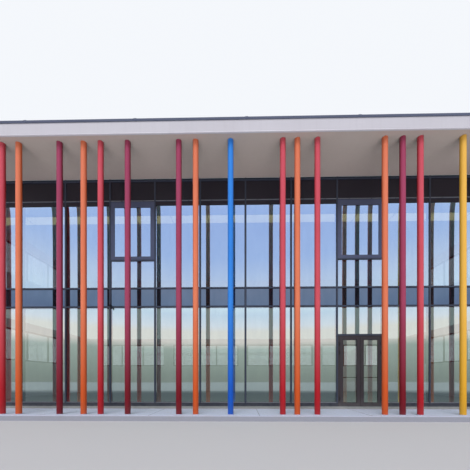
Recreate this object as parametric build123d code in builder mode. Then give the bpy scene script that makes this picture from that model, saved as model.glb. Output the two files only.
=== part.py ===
# School wing: a two-storey glass wall set back behind coloured round posts under a deep flat roof.
# Lengths are in millimetres. X runs along the front, Y into the building, Z up from the ground.
import os

from build123d import *

# Plan
module = 1500               # spacing of the mullions
module_count = 14
wall_thickness = 300        # end walls and rear wall
building_depth = 10200      # outer face of the glass to outer face of the rear wall
roof_overhang = 1740        # outer face of the glass to the face of the front fascia

# Levels
terrace_level = 150         # top of the terrace above the ground
door_step = 80              # rise from the terrace to the floor
storey_height = 3900        # floor to floor
upper_height = 3620         # upper floor to the soffit
upper_sill = 30             # upper floor to the top of its lowest transom
spandrel_height = 664       # underside of the lower transom to the top of the upper one
head_band_height = 870      # top of the visible upper glass to the soffit
floor_thickness = 300
roof_thickness = 250
roof_covering = 50
soffit_board = 20

# Roof edge
fascia_thickness = 40
fascia_drop = 10            # fascia below the soffit
capping_height = 68
capping_width = 300
capping_fall = 14           # top of the capping falls inwards
capping_nose = 20           # capping in front of the fascia
capping_chamfer = 6
drip_chamfer = 10           # lower outer edge of the fascia

# Posts
post_diameter = 159
post_line = 1480            # outer face of the glass to the line of the post centres
post_places = {
    "red": (-9190, -6860, -4070, 1000, 1950, 4750, 9440),
    "orange": (-10120, -6390, -4550, -1410, 1400, 3790, 7060, 10060),
    "crimson": (-7360, -5230, -3310, -1880, 4270, 7820),
    "blue": (-440,),
    "yellow": (5900,),
}

# Curtain wall
mullion_width = 50
mullion_depth = 125
glass_thickness = 30
edge_gap = 10               # from a grid line to the edge of a pane
cap_depth = 25
cap_chamfer = 4
cap_joint = 1               # between the end of one cap and the side of the next
base_profile_height = 115
base_profile_nose = 30      # base profile in front of the glass
base_profile_chamfer = 6
head_rail_height = 125      # dark strip above the visible upper glass
head_rail_thickness = 12
top_cap_drop = 55           # soffit to the centre of the highest cap

# Opening windows of the upper storey
window_modules = (4, 9)     # counted as the door's module is
window_transom_height = 932  # upper floor to the centre of the transom below the sash
sash_width = 121            # face width of the sash at its sides
sash_rail = 101             # face height of its lower rail
sash_top_rail = 182
sash_thickness = 60
sash_nose = 15              # sash in front of the glass
sash_round = 4

# Door
door_module_index = 9       # counted from the left end, from 0
door_head_height = 2366     # floor to the top of the transom over the door
jamb_width = 50
head_frame_height = 30
door_frame_depth = 100
leaf_thickness = 55
stile_width = 108
leaf_bottom_rail = 108
leaf_top_rail = 102
leaf_gap = 6                # leaf to frame and threshold
meeting_gap = 8             # leaf to leaf
meeting_chamfer = 6
leaf_glass_thickness = 24
threshold_height = 12
stop_width = 20
stop_depth = 25
stop_gap = 5                # stop behind the leaf
seal_gap = 1                # between the ends of two stops
hinge_heights = (250, 1760, 2050)
hinge_radius = 11
hinge_length = 120
hinge_gap = 0.4             # between two knuckles
flap_thickness = 5
flap_width = 38
flap_chamfer = 1
push_bar_height = 950
push_bar_radius = 15
push_bar_reach = 75         # inner face of the leaf to the centre of the bar
push_bar_inset = 55         # edge of the leaf to the middle of a bracket
bracket_width = 44
bracket_height = 90
bracket_round = 8

# Windows of the rear wall and the end walls
high_sill = 1730            # floor to the bottom of a window
high_head = 3220            # floor to the top of a window
rear_pier_width = 610
end_pier_width = 2860
rear_window_count = 4
end_window_count = 1
window_light_count = 3
frame_width = 60
frame_depth = 70
frame_inset = 110           # outer face of the wall to the frame
pane_thickness = 28
sill_thickness = 30
sill_fall = 10
sill_nose = 30              # sill in front of the wall

# Places that follow from the dimensions above
half_front = module * module_count / 2
inner_half = half_front + mullion_width / 2
outer_half = inner_half + wall_thickness
front_reach = roof_overhang + capping_nose
back_reach = building_depth + fascia_thickness + capping_nose
glass_y = (front_reach - back_reach) / 2
glass_back_y = glass_y + glass_thickness
mullion_back_y = glass_back_y + mullion_depth
cap_front_y = glass_y - cap_depth
fascia_front_y = glass_y - roof_overhang
rear_outer_y = glass_y + building_depth
rear_inner_y = rear_outer_y - wall_thickness
floor_edge_y = glass_y - base_profile_nose
floor_level = terrace_level + door_step
upper_level = floor_level + storey_height
soffit_level = upper_level + upper_height
roof_level = soffit_level + soffit_board
covering_level = roof_level + roof_thickness
capping_level = covering_level + roof_covering
sill_level = upper_level + upper_sill - mullion_width / 2
lower_head_level = upper_level + upper_sill - spandrel_height + mullion_width / 2
glass_head_level = soffit_level - head_band_height
head_level = glass_head_level + head_rail_height + mullion_width / 2
base_level = floor_level + base_profile_height
top_cap_level = soffit_level - top_cap_drop
grid_x = [place * module - half_front for place in range(module_count + 1)]
window_transom_level = upper_level + window_transom_height
door_transom_level = floor_level + door_head_height - mullion_width / 2

os.makedirs("parts", exist_ok=True)


def save(piece, name):
    # Label one finished piece and write it to its file
    piece.label = name
    export_step(piece, f"parts/{name}.step")


def span(start, end):
    # Length and middle of a stretch
    return end - start, (start + end) / 2


# Ground
with BuildPart() as terrace_slab:
    slab_depth, slab_y = span(fascia_front_y, floor_edge_y)
    with BuildSketch():
        with Locations((0, slab_y)):
            Rectangle(2 * outer_half, slab_depth)
    extrude(amount=terrace_level)
save(terrace_slab.part, "terrace_slab")

with BuildPart() as ground_slab:
    slab_depth, slab_y = span(floor_edge_y, rear_outer_y)
    with BuildSketch():
        with Locations((0, slab_y)):
            Rectangle(2 * outer_half, slab_depth)
    extrude(amount=floor_level)
save(ground_slab.part, "ground_slab")

# Upper floor, between the curtain wall and the rear wall
with BuildPart() as upper_floor:
    slab_depth, slab_y = span(mullion_back_y, rear_inner_y)
    with BuildSketch(Plane.XY.offset(upper_level)):
        with Locations((0, slab_y)):
            Rectangle(2 * inner_half, slab_depth)
    extrude(amount=-floor_thickness)
save(upper_floor.part, "upper_floor")

# Roof slab and its covering share one outline inside the fascias
roof_front_y = fascia_front_y + fascia_thickness
roof_depth, roof_y = span(roof_front_y, rear_outer_y)
with BuildPart() as roof_slab:
    with BuildSketch(Plane.XY.offset(roof_level)):
        with Locations((0, roof_y)):
            Rectangle(2 * outer_half, roof_depth)
    extrude(amount=roof_thickness)
save(roof_slab.part, "roof_slab")

with BuildPart() as roof_covering_sheet:
    with BuildSketch(Plane.XY.offset(covering_level)):
        with Locations((0, roof_y)):
            Rectangle(2 * outer_half, roof_depth)
    extrude(amount=roof_covering)
save(roof_covering_sheet.part, "roof_covering")

with BuildPart() as front_soffit:
    board_depth, board_y = span(roof_front_y, cap_front_y)
    with BuildSketch(Plane.XY.offset(soffit_level)):
        with Locations((0, board_y)):
            Rectangle(2 * outer_half, board_depth)
    extrude(amount=soffit_board)
save(front_soffit.part, "front_soffit")


# Sections of the roof edge: the outer face of the roof slab is at 0, outside is towards +X
fascia_bottom = soffit_level - fascia_drop
fascia_section = [
    (0, fascia_bottom),
    (fascia_thickness - drip_chamfer, fascia_bottom),
    (fascia_thickness, fascia_bottom + drip_chamfer),
    (fascia_thickness, capping_level),
    (0, capping_level),
]
nose_x = fascia_thickness + capping_nose
capping_top = capping_level + capping_height
capping_section = [
    (nose_x - capping_width, capping_level),
    (nose_x, capping_level),
    (nose_x, capping_top - capping_chamfer),
    (nose_x - capping_chamfer, capping_top),
    (nose_x - capping_width, capping_top - capping_fall),
]


def mitred_bar(section, start, end, outward):
    # One side of a ring round the roof, between two corners of the roof slab, mitred at both
    run = (end - start).normalized()
    middle = (start + end) * 0.5
    reach = (end - start).length / 2 + fascia_thickness + capping_nose
    with BuildPart() as bar:
        with BuildSketch(Plane(origin=middle, x_dir=outward, z_dir=outward.cross(Vector(0, 0, 1)))):
            with BuildLine():
                Polyline(*section, close=True)
            make_face()
        extrude(amount=reach, both=True)
        split(bisect_by=Plane(origin=start, z_dir=run + outward), keep=Keep.TOP)
        split(bisect_by=Plane(origin=end, z_dir=outward - run), keep=Keep.TOP)
    return bar.part


front_left = Vector(-outer_half, roof_front_y, 0)
front_right = Vector(outer_half, roof_front_y, 0)
back_left = Vector(-outer_half, rear_outer_y, 0)
back_right = Vector(outer_half, rear_outer_y, 0)

for edge_name, section in (("fascia", fascia_section), ("capping", capping_section)):
    front_bar = mitred_bar(section, front_left, front_right, Vector(0, -1, 0))
    back_bar = mitred_bar(section, back_left, back_right, Vector(0, 1, 0))
    left_bar = mitred_bar(section, front_left, back_left, Vector(-1, 0, 0))
    right_bar = mitred_bar(section, front_right, back_right, Vector(1, 0, 0))
    with BuildPart() as end_bars:
        add(left_bar)
        add(right_bar)
    save(front_bar, f"front_{edge_name}")
    save(back_bar, f"back_{edge_name}")
    save(end_bars.part, f"end_{edge_name}s")

# Posts, from the terrace to the soffit, one node for each colour
for colour, places in post_places.items():
    with BuildPart() as posts:
        with BuildSketch(Plane.XY.offset(terrace_level)):
            with Locations(*[(place, glass_y - post_line) for place in places]):
                Circle(post_diameter / 2)
        extrude(amount=soffit_level - terrace_level)
    save(posts.part, f"{colour}_posts")


def elevation(y):
    # Upright plane at depth y, seen from the front: X to the right, Z up, depth away from the eye
    return Plane.XZ.offset(-y)


def draw_box(left, right, bottom, top):
    # Rectangle of the current sketch between four lines
    with Locations(((left + right) / 2, (bottom + top) / 2)):
        Rectangle(right - left, top - bottom)


def draw_pane(index, bottom, top):
    # Pane of one module between the centre lines of two transoms
    left, right = grid_x[index], grid_x[index + 1]
    draw_box(left + edge_gap, right - edge_gap, bottom + edge_gap, top - edge_gap)


# Curtain wall
with BuildPart() as front_mullions:
    with BuildSketch(elevation(glass_back_y)):
        for x in grid_x:
            draw_box(x - mullion_width / 2, x + mullion_width / 2, floor_level, roof_level)
    extrude(amount=-mullion_depth)
save(front_mullions.part, "front_mullions")


def transom_levels(index):
    # Centre lines of the transoms of one module
    levels = [lower_head_level, sill_level, head_level, roof_level - mullion_width / 2]
    levels.append(door_transom_level if index == door_module_index else base_level)
    if index in window_modules:
        levels.append(window_transom_level)
    return levels


with BuildPart() as front_transoms:
    with BuildSketch(elevation(glass_back_y)):
        for index in range(module_count):
            left = grid_x[index] + mullion_width / 2
            right = grid_x[index + 1] - mullion_width / 2
            for level in transom_levels(index):
                draw_box(left, right, level - mullion_width / 2, level + mullion_width / 2)
    extrude(amount=-mullion_depth)
save(front_transoms.part, "front_transoms")

# Insulation behind the spandrel glass, as deep as the mullions
with BuildPart() as spandrel_insulation:
    with BuildSketch(elevation(glass_back_y)):
        for index in range(module_count):
            left = grid_x[index] + mullion_width / 2
            right = grid_x[index + 1] - mullion_width / 2
            draw_box(left, right, lower_head_level + mullion_width / 2, sill_level - mullion_width / 2)
    extrude(amount=-mullion_depth)
save(spandrel_insulation.part, "spandrel_insulation")

# Caps over the joints of the glass; the base profile closes the lowest joint instead
with BuildPart() as front_caps:
    with BuildSketch(elevation(cap_front_y)):
        for x in grid_x:
            draw_box(x - mullion_width / 2, x + mullion_width / 2, base_level, roof_level)
        for index in range(module_count):
            left = grid_x[index] + mullion_width / 2 + cap_joint
            right = grid_x[index + 1] - mullion_width / 2 - cap_joint
            levels = [lower_head_level, sill_level, head_level, top_cap_level]
            if index == door_module_index:
                levels.append(door_transom_level)
            if index in window_modules:
                levels.append(window_transom_level)
            for level in levels:
                draw_box(left, right, level - mullion_width / 2, level + mullion_width / 2)
    extrude(amount=-cap_depth)
    cap_faces = front_caps.faces().filter_by(Axis.Y).group_by(Axis.Y)[0]
    chamfer(cap_faces.edges(), cap_chamfer)
save(front_caps.part, "front_caps")

with BuildPart() as front_base_profile:
    with BuildSketch(elevation(floor_edge_y)):
        door_left = grid_x[door_module_index] + mullion_width / 2
        door_right = grid_x[door_module_index + 1] - mullion_width / 2
        draw_box(-inner_half, door_left, floor_level, base_level)
        draw_box(door_right, inner_half, floor_level, base_level)
    extrude(amount=-(base_profile_nose + glass_thickness))
    nose_edges = front_base_profile.edges().filter_by(Axis.X).group_by(Axis.Y)[0].group_by(Axis.Z)[-1]
    chamfer(nose_edges, base_profile_chamfer)
save(front_base_profile.part, "front_base_profile")

# Panels under the soffit, and the dark strips on the glass below them
with BuildPart() as front_head_panels:
    with BuildSketch(elevation(glass_y)):
        for index in range(module_count):
            draw_pane(index, head_level, roof_level)
    extrude(amount=-glass_thickness)
    with BuildSketch(elevation(glass_y - head_rail_thickness)):
        for index in range(module_count):
            if index not in window_modules:
                left = grid_x[index] + mullion_width / 2
                right = grid_x[index + 1] - mullion_width / 2
                draw_box(left, right, glass_head_level, head_level - mullion_width / 2)
    extrude(amount=-head_rail_thickness)
save(front_head_panels.part, "front_head_panels")

with BuildPart() as front_upper_glass:
    with BuildSketch(elevation(glass_y)):
        for index in range(module_count):
            draw_pane(index, sill_level, window_transom_level if index in window_modules else head_level)
    extrude(amount=-glass_thickness)
save(front_upper_glass.part, "front_upper_glass")

with BuildPart() as front_spandrel_glass:
    with BuildSketch(elevation(glass_y)):
        for index in range(module_count):
            draw_pane(index, lower_head_level, sill_level)
    extrude(amount=-glass_thickness)
save(front_spandrel_glass.part, "front_spandrel_glass")

with BuildPart() as front_lower_glass:
    with BuildSketch(elevation(glass_y)):
        for index in range(module_count):
            bottom = door_transom_level if index == door_module_index else base_level - edge_gap
            draw_pane(index, bottom, lower_head_level)
    extrude(amount=-glass_thickness)
save(front_lower_glass.part, "front_lower_glass")

# Opening windows: a thick sash above a fixed pane
sash_bottom = window_transom_level + mullion_width / 2
sash_top = head_level - mullion_width / 2
sash_y = glass_y - sash_nose
with BuildPart() as window_sashes:
    with BuildSketch(elevation(sash_y)):
        for index in window_modules:
            left = grid_x[index] + mullion_width / 2
            right = grid_x[index + 1] - mullion_width / 2
            draw_box(left, right, sash_bottom, sash_top)
    extrude(amount=-sash_thickness)
    sash_faces = window_sashes.faces().filter_by(Axis.Y).group_by(Axis.Y)[0]
    fillet(sash_faces.edges(), sash_round)
    with BuildSketch(elevation(sash_y)):
        for index in window_modules:
            left = grid_x[index] + mullion_width / 2 + sash_width
            right = grid_x[index + 1] - mullion_width / 2 - sash_width
            draw_box(left, right, sash_bottom + sash_rail, sash_top - sash_top_rail)
    extrude(amount=-sash_thickness, mode=Mode.SUBTRACT)
save(window_sashes.part, "window_sashes")

with BuildPart() as sash_glass:
    with BuildSketch(elevation(glass_y)):
        for index in window_modules:
            left = grid_x[index] + mullion_width / 2 + sash_width
            right = grid_x[index + 1] - mullion_width / 2 - sash_width
            draw_box(left, right, sash_bottom + sash_rail, sash_top - sash_top_rail)
    extrude(amount=-glass_thickness)
save(sash_glass.part, "sash_glass")

# Door frame: jambs and head, with stops behind the leaves
door_top = door_transom_level - mullion_width / 2
head_bottom = door_top - head_frame_height
opening_left = door_left + jamb_width
opening_right = door_right - jamb_width
with BuildPart() as door_frame:
    with BuildSketch(elevation(cap_front_y)):
        draw_box(door_left, door_right, floor_level, door_top)
        with Locations(((opening_left + opening_right) / 2, (floor_level + head_bottom) / 2)):
            Rectangle(opening_right - opening_left, head_bottom - floor_level, mode=Mode.SUBTRACT)
    extrude(amount=-door_frame_depth)
save(door_frame.part, "door_frame")

threshold_top = floor_level + threshold_height
with BuildPart() as door_threshold:
    with BuildSketch(elevation(cap_front_y)):
        draw_box(opening_left, opening_right, floor_level, threshold_top)
    extrude(amount=-door_frame_depth)
save(door_threshold.part, "door_threshold")

leaf_back_y = cap_front_y + leaf_thickness
with BuildPart() as door_stops:
    with BuildSketch(elevation(leaf_back_y + stop_gap)):
        draw_box(opening_left, opening_left + stop_width, threshold_top, head_bottom)
        draw_box(opening_right - stop_width, opening_right, threshold_top, head_bottom)
        stop_inset = stop_width + seal_gap
        draw_box(opening_left + stop_inset, opening_right - stop_inset, head_bottom - stop_width, head_bottom)
    extrude(amount=-stop_depth)
save(door_stops.part, "door_stops")

# Door leaves: each is drawn as the left one, from its hinge edge, and mirrored for the right
leaf_bottom = threshold_top + leaf_gap
leaf_top = head_bottom - leaf_gap
leaf_width = (opening_right - opening_left - 2 * leaf_gap - meeting_gap) / 2
door_middle = (opening_left + opening_right) / 2
hinge_y = cap_front_y - hinge_radius
knuckle_length = (hinge_length - 2 * hinge_gap) / 3


def draw_leaf_glass(leaf_left):
    # Outline of the glass of one leaf
    glass_right = leaf_left + leaf_width - stile_width
    draw_box(leaf_left + stile_width, glass_right, leaf_bottom + leaf_bottom_rail, leaf_top - leaf_top_rail)


def make_leaf(leaf_left, meeting_side):
    # Ring of stiles and rails, its inner edge chamfered where the leaves meet
    with BuildPart() as leaf:
        with BuildSketch(elevation(cap_front_y)):
            draw_box(leaf_left, leaf_left + leaf_width, leaf_bottom, leaf_top)
        extrude(amount=-leaf_thickness)
        back_edges = leaf.edges().filter_by(Axis.Z).group_by(Axis.Y)[-1]
        chamfer(back_edges.sort_by(Axis.X)[meeting_side], meeting_chamfer)
        with BuildSketch(elevation(cap_front_y)):
            draw_leaf_glass(leaf_left)
        extrude(amount=-leaf_thickness, mode=Mode.SUBTRACT)
    return leaf.part


def make_leaf_glass(leaf_left):
    # Pane in the middle of the leaf's thickness
    with BuildPart() as pane:
        with BuildSketch(elevation(cap_front_y + (leaf_thickness - leaf_glass_thickness) / 2)):
            draw_leaf_glass(leaf_left)
        extrude(amount=-leaf_glass_thickness)
    return pane.part


def make_push_bar(leaf_left):
    # Round bar between two brackets on the inner face of the stiles
    bracket_places = (leaf_left + push_bar_inset, leaf_left + leaf_width - push_bar_inset)
    bar_level = floor_level + push_bar_height
    with BuildPart() as push_bar:
        with BuildSketch(elevation(leaf_back_y)):
            with Locations(*[(place, bar_level) for place in bracket_places]):
                RectangleRounded(bracket_width, bracket_height, bracket_round)
        extrude(amount=-(push_bar_reach))
        bar_start = Plane.YZ.offset(bracket_places[0])
        with BuildSketch(bar_start):
            with Locations((leaf_back_y + push_bar_reach, bar_level)):
                Circle(push_bar_radius)
        extrude(amount=bracket_places[1] - bracket_places[0])
    return push_bar.part


def hinge_bottoms(parts_of_hinge):
    # Undersides of the chosen thirds of every hinge: 0 is the lowest knuckle
    step = knuckle_length + hinge_gap
    starts = [floor_level + height - hinge_length / 2 for height in hinge_heights]
    return [start + third * step for start in starts for third in parts_of_hinge]


def make_hinges(axis_x, flap_side, parts_of_hinge):
    # Knuckles round the hinge axis, each with a flap on the face of the jamb or the leaf
    with BuildPart() as hinges:
        for bottom in hinge_bottoms(parts_of_hinge):
            with BuildSketch(Plane.XY.offset(bottom)):
                with Locations((axis_x, hinge_y)):
                    Circle(hinge_radius)
                flap_y = cap_front_y - flap_thickness / 2
                with Locations((axis_x + flap_side * flap_width / 2, flap_y)):
                    Rectangle(flap_width, flap_thickness)
                with Locations((axis_x, cap_front_y)):
                    Rectangle(2 * leaf_gap, flap_thickness, mode=Mode.SUBTRACT)
            extrude(amount=knuckle_length)
    return hinges.part


left_leaf_x = opening_left + leaf_gap
right_leaf_x = opening_right - leaf_gap - leaf_width
left_axis_x = opening_left + leaf_gap / 2
right_axis_x = opening_right - leaf_gap / 2
with BuildPart() as fixed_hinges:
    add(make_hinges(left_axis_x, -1, (0, 2)))
    add(make_hinges(right_axis_x, 1, (0, 2)))
save(fixed_hinges.part, "fixed_hinges")

for side, leaf_x, axis_x, meeting_side, flap_side in (
    ("left", left_leaf_x, left_axis_x, -1, 1),
    ("right", right_leaf_x, right_axis_x, 0, -1),
):
    save(make_leaf(leaf_x, meeting_side), f"{side}_door_leaf")
    save(make_leaf_glass(leaf_x), f"{side}_door_glass")
    save(make_push_bar(leaf_x), f"{side}_push_bar")
    save(make_hinges(axis_x, flap_side, (1,)), f"{side}_hinges")

# Rear wall and end walls: bands that run through, and piers between the windows of each storey
storey_levels = (floor_level, upper_level)
window_levels = [(level + high_sill, level + high_head) for level in storey_levels]
band_levels = [
    (floor_level, window_levels[0][0]),
    (window_levels[0][1], window_levels[1][0]),
    (window_levels[1][1], roof_level),
]


def window_spans(start, end, count, pier_width):
    # Windows along a wall, between piers of one width
    length = (end - start - (count + 1) * pier_width) / count
    starts = [start + pier_width + place * (length + pier_width) for place in range(count)]
    return [(left, left + length) for left in starts]


def draw_bands(start, end):
    # Bands of one wall
    for bottom, top in band_levels:
        draw_box(start, end, bottom, top)


def draw_piers(start, end, spans):
    # Piers beside the windows of one wall
    edges = [start] + [edge for span_edges in spans for edge in span_edges] + [end]
    for bottom, top in window_levels:
        for left, right in zip(edges[0::2], edges[1::2]):
            draw_box(left, right, bottom, top)


def draw_rails(spans):
    # Head and sill rails of the window frames
    for bottom, top in window_levels:
        for left, right in spans:
            draw_box(left, right, bottom, bottom + frame_width)
            draw_box(left, right, top - frame_width, top)


def light_edges(left, right):
    # Left edges of the stiles of one window, from jamb to jamb
    pitch = (right - left - frame_width) / window_light_count
    return [left + place * pitch for place in range(window_light_count + 1)]


def draw_stiles(spans):
    # Upright bars of the window frames
    for bottom, top in window_levels:
        for left, right in spans:
            for edge in light_edges(left, right):
                draw_box(edge, edge + frame_width, bottom + frame_width, top - frame_width)


def draw_lights(spans):
    # Panes of the windows
    for bottom, top in window_levels:
        for left, right in spans:
            edges = light_edges(left, right)
            for edge, following in zip(edges, edges[1:]):
                draw_box(edge + frame_width, following, bottom + frame_width, top - frame_width)


rear_spans = window_spans(-inner_half, inner_half, rear_window_count, rear_pier_width)
end_spans = window_spans(cap_front_y, rear_outer_y, end_window_count, end_pier_width)


def rear_plane(inset):
    # Upright plane in the rear wall, at a distance inside its outer face
    return elevation(rear_outer_y - inset)


with BuildPart() as back_wall_bands:
    with BuildSketch(rear_plane(0)):
        draw_bands(-inner_half, inner_half)
    extrude(amount=wall_thickness)
save(back_wall_bands.part, "back_wall_bands")

with BuildPart() as back_wall_piers:
    with BuildSketch(rear_plane(0)):
        draw_piers(-inner_half, inner_half, rear_spans)
    extrude(amount=wall_thickness)
save(back_wall_piers.part, "back_wall_piers")

with BuildPart() as end_wall_bands:
    for side in (-1, 1):
        with BuildSketch(Plane.YZ.offset(side * inner_half)):
            draw_bands(cap_front_y, rear_outer_y)
        extrude(amount=side * wall_thickness)
save(end_wall_bands.part, "end_wall_bands")

with BuildPart() as end_wall_piers:
    for side in (-1, 1):
        with BuildSketch(Plane.YZ.offset(side * inner_half)):
            draw_piers(cap_front_y, rear_outer_y, end_spans)
        extrude(amount=side * wall_thickness)
save(end_wall_piers.part, "end_wall_piers")


def make_high_windows(draw, inset, thickness):
    # The same drawing in the windows of the rear wall and of both end walls
    with BuildPart() as pieces:
        with BuildSketch(rear_plane(inset)):
            draw(rear_spans)
        extrude(amount=thickness)
        for side in (-1, 1):
            with BuildSketch(Plane.YZ.offset(side * (outer_half - inset))):
                draw(end_spans)
            extrude(amount=-side * thickness)
    return pieces.part


pane_inset = frame_inset + (frame_depth - pane_thickness) / 2
save(make_high_windows(draw_rails, frame_inset, frame_depth), "high_window_rails")
save(make_high_windows(draw_stiles, frame_inset, frame_depth), "high_window_stiles")
save(make_high_windows(draw_lights, pane_inset, pane_thickness), "high_window_glass")

# Section of the sheet sills: the outer face of the wall is at 0, outside is towards +X
sill_section = [
    (-frame_inset, 0),
    (sill_nose, 0),
    (sill_nose, sill_thickness - sill_fall),
    (-frame_inset, sill_thickness),
]


def make_sill(middle, outward, length):
    # One sill, centred on the lower edge of its opening
    with BuildPart() as sill:
        with BuildSketch(Plane(origin=middle, x_dir=outward, z_dir=outward.cross(Vector(0, 0, 1)))):
            with BuildLine():
                Polyline(*sill_section, close=True)
            make_face()
        extrude(amount=length / 2, both=True)
    return sill.part


with BuildPart() as window_sills:
    for level in storey_levels:
        bottom = level + high_sill
        for left, right in rear_spans:
            length, middle = span(left, right)
            add(make_sill(Vector(middle, rear_outer_y, bottom), Vector(0, 1, 0), length))
        for left, right in end_spans:
            length, middle = span(left, right)
            for side in (-1, 1):
                add(make_sill(Vector(side * outer_half, middle, bottom), Vector(side, 0, 0), length))
save(window_sills.part, "window_sills")
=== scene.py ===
import math
import bpy
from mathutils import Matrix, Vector


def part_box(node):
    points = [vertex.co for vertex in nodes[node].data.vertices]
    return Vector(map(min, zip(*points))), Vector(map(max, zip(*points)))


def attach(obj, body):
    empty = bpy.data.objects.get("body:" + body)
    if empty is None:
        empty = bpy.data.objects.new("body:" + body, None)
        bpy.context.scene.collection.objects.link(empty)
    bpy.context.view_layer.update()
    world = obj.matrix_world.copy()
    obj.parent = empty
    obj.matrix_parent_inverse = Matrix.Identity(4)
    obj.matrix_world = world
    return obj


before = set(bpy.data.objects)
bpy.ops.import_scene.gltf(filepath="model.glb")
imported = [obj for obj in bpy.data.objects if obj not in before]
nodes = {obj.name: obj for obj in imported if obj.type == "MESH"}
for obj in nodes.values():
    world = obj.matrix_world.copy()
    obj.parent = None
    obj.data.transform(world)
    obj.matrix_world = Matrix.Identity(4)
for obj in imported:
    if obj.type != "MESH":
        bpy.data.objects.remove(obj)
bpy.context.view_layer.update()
scene = bpy.context.scene

# Places read from the frame, in metres
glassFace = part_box("front_lower_glass")[0].y
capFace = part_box("front_caps")[0].y
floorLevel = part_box("ground_slab")[1].z
print("frame loaded:", len(nodes), "nodes")


# Camera: level, with its lens shifted upwards, as in the photograph
cameraView = {
    "imageSize": 470,
    "focalPixels": 277.4,
    "horizonPixel": 377.66,
    "turnDegrees": 1.062,
    "sideways": -0.176,
    "distance": 9.133,       # in front of the caps
    "eyeOverFloor": 0.942,
    "sensor": 36.0,
    "farthest": 500,
}


def addCamera(view):
    data = bpy.data.cameras.new("photoCamera")
    data.sensor_width = view["sensor"]
    data.lens = view["focalPixels"] / view["imageSize"] * view["sensor"]
    data.shift_y = (view["horizonPixel"] - view["imageSize"] / 2) / view["imageSize"]
    data.clip_end = view["farthest"]
    camera = bpy.data.objects.new("photoCamera", data)
    camera.location = (view["sideways"], capFace - view["distance"],
                       floorLevel + view["eyeOverFloor"])
    camera.rotation_euler = (math.radians(90), 0, math.radians(view["turnDegrees"]))
    scene.collection.objects.link(camera)
    scene.camera = camera


addCamera(cameraView)
print("camera placed")


# Helpers for node trees
def feed(tree, value, socket):
    # A socket takes a link or a plain value
    if hasattr(value, "is_linked"):
        tree.links.new(value, socket)
    else:
        socket.default_value = value


def step(tree, kind, values=None, **settings):
    # Adds one node, sets it up, links what it takes and gives back its first output
    node = tree.nodes.new(kind)
    for key, value in settings.items():
        setattr(node, key, value)
    for title, value in (values or {}).items():
        feed(tree, value, node.inputs[title])
    return node.outputs[0] if node.outputs else None


def mathNode(tree, operation, *values, clamp=False):
    return step(tree, "ShaderNodeMath", dict(enumerate(values)), operation=operation,
                use_clamp=clamp)


def product(tree, first, second):
    return mathNode(tree, "MULTIPLY", first, second)


def mixColour(tree, factor, colourA, colourB):
    node = tree.nodes.new("ShaderNodeMix")
    node.data_type = "RGBA"
    # Sockets of this node share their titles, so the ones for colours are taken by place
    for index, value in ((0, factor), (6, colourA), (7, colourB)):
        feed(tree, value, node.inputs[index])
    return node.outputs[2]


def mixShader(tree, factor, shaderA, shaderB):
    return step(tree, "ShaderNodeMixShader", {0: factor, 1: shaderA, 2: shaderB})


def noiseAt(tree, vector, scale, detail, roughness):
    return step(tree, "ShaderNodeTexNoise",
                {"Vector": vector, "Scale": scale, "Detail": detail, "Roughness": roughness})


def objectCoords(tree):
    return tree.nodes.new("ShaderNodeTexCoord").outputs["Object"]


def objectNormal(tree):
    return tree.nodes.new("ShaderNodeTexCoord").outputs["Normal"]


def splitAxes(tree, vector):
    node = tree.nodes.new("ShaderNodeSeparateXYZ")
    tree.links.new(vector, node.inputs[0])
    return node.outputs


def stretched(tree, vector, scale):
    return step(tree, "ShaderNodeMapping", {"Scale": scale, "Vector": vector})


def ramp(tree, value, low, high):
    # Straight ramp from 0 at low to 1 at high, level beyond them
    return step(tree, "ShaderNodeMapRange", {"Value": value, "From Min": low, "From Max": high})


def newGroup(name, inputs, outputs):
    # Shader group with named sockets; tuples and the title Colour stand for colours
    group = bpy.data.node_groups.new(name, "ShaderNodeTree")
    for title, default in inputs.items():
        kind = "NodeSocketColor" if isinstance(default, tuple) else "NodeSocketFloat"
        socket = group.interface.new_socket(title, in_out="INPUT", socket_type=kind)
        socket.default_value = default
    for title in outputs:
        kind = "NodeSocketColor" if title == "Colour" else "NodeSocketFloat"
        group.interface.new_socket(title, in_out="OUTPUT", socket_type=kind)
    return group, group.nodes.new("NodeGroupInput").outputs


# Weathering of every opaque surface; heights are metres over the ground
weatherLook = {
    "inputs": {
        "Colour": (0.5, 0.5, 0.5, 1), "Stain": (0.2, 0.2, 0.2, 1), "Painted Sheen": (0.6, 0.6, 0.6, 1),
        "Painted Sheen Amount": 0.0, "Cloud Scale": 0.7, "Cloud Amount": 0.2, "Streak Amount": 0.1,
        "Grain Scale": 60.0, "Grain Amount": 0.1, "Dust Amount": 0.2, "Low Dark Amount": 0.0,
        "Roughness": 0.5, "Roughness Spread": 0.1,
    },
    "outputs": ("Colour", "Roughness", "Height", "Low Dark"),
    "cloudNoise": {"detail": 6.0, "roughness": 0.6},
    "cloudRange": (0.35, 0.7),
    "streakStretch": (9.0, 9.0, 0.35),
    "streakNoise": {"scale": 1.0, "detail": 5.0, "roughness": 0.6},
    "streakRange": (0.5, 0.75),
    "grainNoise": {"detail": 3.0, "roughness": 0.7},
    "paintedSheenFrontNormals": (0.25, -0.75),   # along Y: the back keeps the deeper tone as painted shade, the front takes the painted sheen
    "paintedSheenHeights": (0.85, 3.2),    # painted highlight growing upwards, fitted to the tones of the posts
    "dustHeights": (0.55, 0.15),
    "dustNoise": {"scale": 5.0, "detail": 6.0, "roughness": 0.65},
    "dustRange": (0.3, 0.7),
    "dustColour": (0.5, 0.48, 0.46, 1),
    "dustRoughness": 0.4,
    # heights over which the lowest band turns darker
    "lowDarkHeights": (0.148, 0.125),
}


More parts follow.
